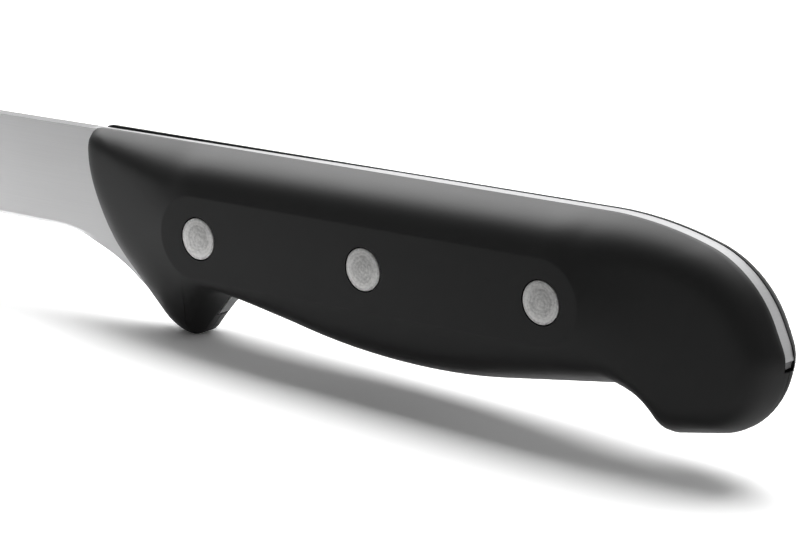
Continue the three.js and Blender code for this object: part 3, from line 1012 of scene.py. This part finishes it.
# Camera: place, turn in degrees, and lens and film in mm
CAMERA_PLACE = at(392.711, 114.549, -390.822)
CAMERA_TURN = (76.0071, 1.1824, 40.1759)
CAMERA_LENS = 168.75
CAMERA_SENSOR = 36.0
CAMERA_CLIP = (0.01, 100.0)

# Softbox, from a point in the handle
HANDLE_MIDDLE = at(60, -14)
SOFTBOX_PLACE = HANDLE_MIDDLE + Vector((-0.65, 0.57, 1.0))
SOFTBOX_SIZE = (2.2, 1.02)

# Floor, tilted under the guard, with its paleness for the camera, and the painted shade that dims it in
# reflections in front and behind, over spans in mm
FLOOR_SIZE = 40.0
GUARD_TIP = at(19.0, -GUARD_DEPTH)
FLOOR_WHITE = 1.3
FLOOR_BACK = 0.45
FLOOR_REFLECTED = 1.0
FLOOR_DIM = 0.12
DIM_WAY = (0.25, -0.97, 0)
BACK_SPAN = (0.0, 30.0)
DIM_SPAN = (-60.0, 130.0)
WHITE_SPAN = (350.0, 900.0)


def floor_finish(colour):
    """Matt pale floor, white to the camera where nothing shades it, and dimmer in reflections in front of
    and behind the knife, as painted shade.
    """
    finish, surface, place = new_finish("pale_floor")
    cloud = noise(place, (400, 400, 400), detail=1)
    feed(
        surface,
        Base_Color=blend_colour(cloud, shaded(colour, 0.99), shaded(colour, 1.0)),
        Roughness=0.9,
        Specular_IOR_Level=0.0,
    )
    # Painted shade: reflections see the floor dimmer in front of the knife and behind it
    dot = {"operation": "DOT_PRODUCT"}
    along = place.node("ShaderNodeVectorMath", dot, {0: place, 1: DIM_WAY}, output="Value")
    painted_front_shade = ramp(along, *DIM_SPAN, 0, FLOOR_REFLECTED - FLOOR_DIM)
    painted_floor_shade = ramp(place.axis("Y"), *BACK_SPAN, FLOOR_REFLECTED, FLOOR_BACK) - painted_front_shade
    look = Shade(finish.node_tree, surface.outputs[0])
    for ray in ("Is Glossy Ray", "Is Transmission Ray"):
        seen = place.node("ShaderNodeLightPath", output=ray)
        plain = place.node("ShaderNodeBsdfDiffuse", None, {"Color": painted_floor_shade})
        look = place.node("ShaderNodeMixShader", None, {0: seen, 1: look, 2: plain})
    seen = place.node("ShaderNodeLightPath", output="Is Camera Ray")
    away = place.node("ShaderNodeVectorMath", {"operation": "LENGTH"}, {0: place}, output="Value")
    near = place.node("ShaderNodeBsdfDiffuse", None, {"Color": (FLOOR_WHITE,) * 3 + (1,)})
    far = place.node("ShaderNodeEmission", None, {"Color": (1, 1, 1, 1), "Strength": 1.0})
    look = place.node("ShaderNodeMixShader", None, {0: seen, 1: look, 2: near})
    look = place.node("ShaderNodeMixShader", None, {0: seen * ramp(away, *WHITE_SPAN), 1: look, 2: far})
    output = next(node for node in finish.node_tree.nodes if node.type == "OUTPUT_MATERIAL")
    feed(output, Surface=look)
    return finish


def softbox(power):
    """Level lamp that shines straight down."""
    bpy.ops.object.select_all(action="DESELECT")
    bpy.ops.object.light_add(type="AREA", location=SOFTBOX_PLACE)
    lamp = bpy.context.object
    lamp.name = "softbox"
    lamp.data.shape = "RECTANGLE"
    lamp.data.size, lamp.data.size_y = SOFTBOX_SIZE
    lamp.data.energy = power


# Spans of a direction's Y and Z over which the back wall begins and ends
WALL_TURN = (0.0, 0.6)
WALL_TOP = (0.35, 0.7)


def surroundings(sizes):
    """Plain room, pale behind the knife and dim on the camera's side, that the camera sees as white."""
    world = bpy.data.worlds.new("studio")
    world.use_nodes = True
    room = next(node for node in world.node_tree.nodes if node.type == "BACKGROUND")
    start = Shade(world.node_tree)
    way = start.node("ShaderNodeTexCoord", output="Generated")
    wall = ramp(way.axis("Y"), *WALL_TURN) * (1 - ramp(way.axis("Z"), *WALL_TOP))
    light = sizes.front_wall + (sizes.back_wall - sizes.front_wall) * wall
    seen = start.node("ShaderNodeLightPath", output="Is Camera Ray")
    feed(room, Color=(1, 1, 1, 1), Strength=light + seen * (1 - light))
    return world


class KNIFE_OT_stage(bpy.types.Operator):
    """Sets the floor, the lamp, the surroundings and the camera"""

    bl_idname = "knife.stage"
    bl_label = "Stage"

    def execute(self, context):
        scene = context.scene
        sizes = scene.knife_stage
        bpy.ops.object.select_all(action="DESELECT")
        bpy.ops.mesh.primitive_plane_add(
            size=FLOOR_SIZE, location=GUARD_TIP, rotation=(0, sizes.floor_tilt, 0))
        floor = context.object
        floor.name = "floor"
        floor.data.materials.append(floor_finish(sizes.floor_colour))

        softbox(sizes.softbox_light)
        scene.world = surroundings(sizes)

        turn = [math.radians(angle) for angle in CAMERA_TURN]
        bpy.ops.object.camera_add(location=CAMERA_PLACE, rotation=turn)
        camera = context.object
        camera.data.lens = CAMERA_LENS
        camera.data.sensor_width = CAMERA_SENSOR
        camera.data.clip_start, camera.data.clip_end = CAMERA_CLIP
        scene.camera = camera
        scene.view_settings.view_transform = "Standard"
        return {"FINISHED"}


# Panel and registration


class KNIFE_PT_panel(bpy.types.Panel):
    """Lists the knife's pieces and their sizes"""

    bl_label = "Ham knife"
    bl_idname = "KNIFE_PT_panel"
    bl_space_type = "VIEW_3D"
    bl_region_type = "UI"
    bl_category = "Ham knife"

    def draw(self, context):
        groups = (
            ("knife.blade", context.scene.knife_blade),
            ("knife.scales", context.scene.knife_handle),
            ("knife.rivets", context.scene.knife_rivets),
            ("knife.stage", context.scene.knife_stage),
        )
        for operator, sizes in groups:
            box = self.layout.box()
            box.operator(operator)
            for name in sizes.__annotations__:
                box.prop(sizes, name)


GROUPS = {
    "knife_handle": HandleSizes,
    "knife_blade": BladeSizes,
    "knife_rivets": RivetSizes,
    "knife_stage": StageSizes,
}
OPERATORS = (KNIFE_OT_blade, KNIFE_OT_scales, KNIFE_OT_rivets, KNIFE_OT_stage)


def register():
    for cls in (*GROUPS.values(), *OPERATORS, KNIFE_PT_panel):
        bpy.utils.register_class(cls)
    for name, group in GROUPS.items():
        setattr(bpy.types.Scene, name, bpy.props.PointerProperty(type=group))


def unregister():
    for name in GROUPS:
        delattr(bpy.types.Scene, name)
    for cls in reversed((*GROUPS.values(), *OPERATORS, KNIFE_PT_panel)):
        bpy.utils.unregister_class(cls)


def main():
    register()
    bpy.ops.knife.stage()
    bpy.ops.knife.blade()
    bpy.ops.knife.scales()
    bpy.ops.knife.rivets()


if __name__ == "__main__":
    main()
